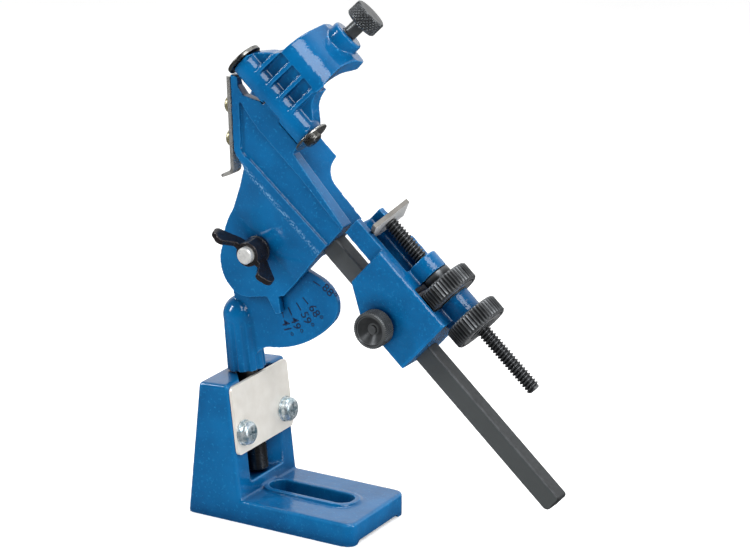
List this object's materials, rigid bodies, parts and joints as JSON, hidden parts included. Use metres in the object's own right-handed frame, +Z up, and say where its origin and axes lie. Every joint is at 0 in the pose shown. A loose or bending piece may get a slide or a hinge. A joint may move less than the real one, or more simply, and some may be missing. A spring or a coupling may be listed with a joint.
{
  "type": "drill bit sharpener",
  "caption": "Drill-grinding attachment: slotted foot with leaning post, swivelling dial bracket, tilting vee drill holder with hinged clamp arm, and a screw-fed tailstock on a slide bar.",
  "frame": {"origin": "centre of the bench slot, on the bench plane under the foot", "axes": "+X towards the free end of the foot, +Z up, operator on the -Y side"},
  "size_m": [0.2237, 0.0675, 0.2949],
  "materials": {
    "base_enamel": "glossy enamel on cast iron",
    "bracket_enamel": "glossy enamel on cast iron",
    "holder_enamel": "glossy enamel on cast iron",
    "clamp_enamel": "glossy enamel on cast iron",
    "tailstock_enamel": "enamel with an orange-peel face",
    "plate_nickel": "pale nickel plate",
    "blue_zinc": "bright zinc",
    "blue_zinc_washers": "bright zinc",
    "post_steel": "dark ground steel",
    "grub_steel": "black oxide",
    "bolt_steel": "bright zinc",
    "pivot_washer_steel": "black oxide",
    "wing_nut_black": "satin black",
    "strip_steel": "bright spring strip",
    "yellow_zinc": "yellow zinc",
    "bar_black": "black oxide",
    "bar_screw_black": "black oxide",
    "hinge_pin_black": "black oxide",
    "hinge_washer_steel": "bright steel",
    "hinge_screw_steel": "bright zinc",
    "clamp_screw_black": "black oxide, diamond knurl",
    "pad_steel": "dark steel",
    "lock_screw_black": "black oxide, diamond knurl",
    "feed_screw_black": "black oxide, oiled",
    "shank_plate_steel": "dull steel",
    "feed_wheel_black": "black oxide, straight knurl",
    "lock_wheel_black": "black oxide, straight knurl"
  },
  "bodies": {
    "base": {"base_casting": "base_enamel", "clamp_plate": "plate_nickel", "clamp_plate_screws": "blue_zinc", "clamp_plate_washers": "blue_zinc_washers"},
    "post": {"pivot_post": "post_steel"},
    "bracket": {"swivel_bracket": "bracket_enamel", "bracket_set_screw": "grub_steel", "pivot_bolt": "bolt_steel", "pivot_washer": "pivot_washer_steel"},
    "wing_nut": {"wing_nut": "wing_nut_black"},
    "holder": {"drill_holder": "holder_enamel", "slide_bar": "bar_black", "slide_bar_screws": "bar_screw_black", "lip_rest_screws": "yellow_zinc", "hinge_pin": "hinge_pin_black", "hinge_washer": "hinge_washer_steel", "hinge_screw": "hinge_screw_steel"},
    "lip_rest": {"lip_rest": "strip_steel"},
    "clamp": {"clamp_arm": "clamp_enamel"},
    "pad": {"clamp_pad": "pad_steel"},
    "clamp_screw": {"clamp_screw": "clamp_screw_black"},
    "tailstock": {"tailstock": "tailstock_enamel"},
    "lock_screw": {"tailstock_lock_screw": "lock_screw_black"},
    "feed": {"feed_screw": "feed_screw_black", "shank_plate": "shank_plate_steel"},
    "feed_wheel": {"feed_wheel": "feed_wheel_black"},
    "lock_wheel": {"lock_wheel": "lock_wheel_black"}
  },
  "joints": [
    {"name": "post_height", "type": "slide", "parent": "base", "child": "post", "axis": [-0.1132, 0, 0.9936], "range_m": [0, 0.025]},
    {"name": "bracket_swivel", "type": "hinge", "parent": "post", "child": "bracket", "pos_m": [-0.0446, 0, 0.10224], "axis": [-0.1132, 0, 0.9936], "range_deg": [-45, 45]},
    {"name": "point_angle", "type": "hinge", "parent": "bracket", "child": "holder", "pos_m": [-0.0287, -0.0085, 0.1555], "axis": [0, -1, 0], "range_deg": [0, 47]},
    {"name": "wing_nut_turn", "type": "hinge", "parent": "bracket", "child": "wing_nut", "pos_m": [-0.0287, -0.0085, 0.1555], "axis": [0, -1, 0], "continuous": true},
    {"name": "lip_rest_adjust", "type": "slide", "parent": "holder", "child": "lip_rest", "axis": [-0.0349, 0, 0.9994], "range_m": [-0.0025, 0.0025]},
    {"name": "clamp_swing", "type": "hinge", "parent": "holder", "child": "clamp", "pos_m": [-0.01311, -0.0135, 0.24646], "axis": [0.7455, 0, -0.6665], "range_deg": [0, 35]},
    {"name": "clamp_screw_turn", "type": "hinge", "parent": "pad", "child": "clamp_screw", "pos_m": [0.01394, 0.01944, 0.27671], "axis": [-0.6263, -0.342, -0.7005], "range_deg": [-2166, 2166]},
    {"name": "clamp_pad_feed", "type": "slide", "parent": "clamp", "child": "pad", "axis": [-0.6263, -0.342, -0.7005], "range_m": [-0.0075, 0.0075]},
    {"name": "tailstock_slide", "type": "slide", "parent": "holder", "child": "tailstock", "axis": [0.7455, 0, -0.6665], "range_m": [0, 0.1]},
    {"name": "lock_screw_turn", "type": "hinge", "parent": "tailstock", "child": "lock_screw", "pos_m": [0.05735, -0.0285, 0.13021], "axis": [0, -1, 0], "continuous": true},
    {"name": "feed_wheel_turn", "type": "hinge", "parent": "tailstock", "child": "feed_wheel", "pos_m": [0.08876, -0.0045, 0.15109], "axis": [0.7455, 0, -0.6665], "range_deg": [0, 4320]},
    {"name": "feed_screw_advance", "type": "slide", "parent": "tailstock", "child": "feed", "axis": [-0.7455, 0, 0.6665], "range_m": [0, 0.0242]},
    {"name": "lock_wheel_turn", "type": "hinge", "parent": "tailstock", "child": "lock_wheel", "pos_m": [0.10627, -0.0045, 0.13543], "axis": [0.7455, 0, -0.6665], "range_deg": [-10, 4330]}
  ],
  "couplings": [
    {"joint": "feed_screw_advance", "follows": "feed_wheel_turn", "m_per_rad": 0.00031831},
    {"joint": "lock_wheel_turn", "follows": "feed_wheel_turn", "ratio": 1},
    {"joint": "clamp_screw_turn", "follows": "clamp_pad_feed", "rad_per_m": 5026.5}
  ]
}
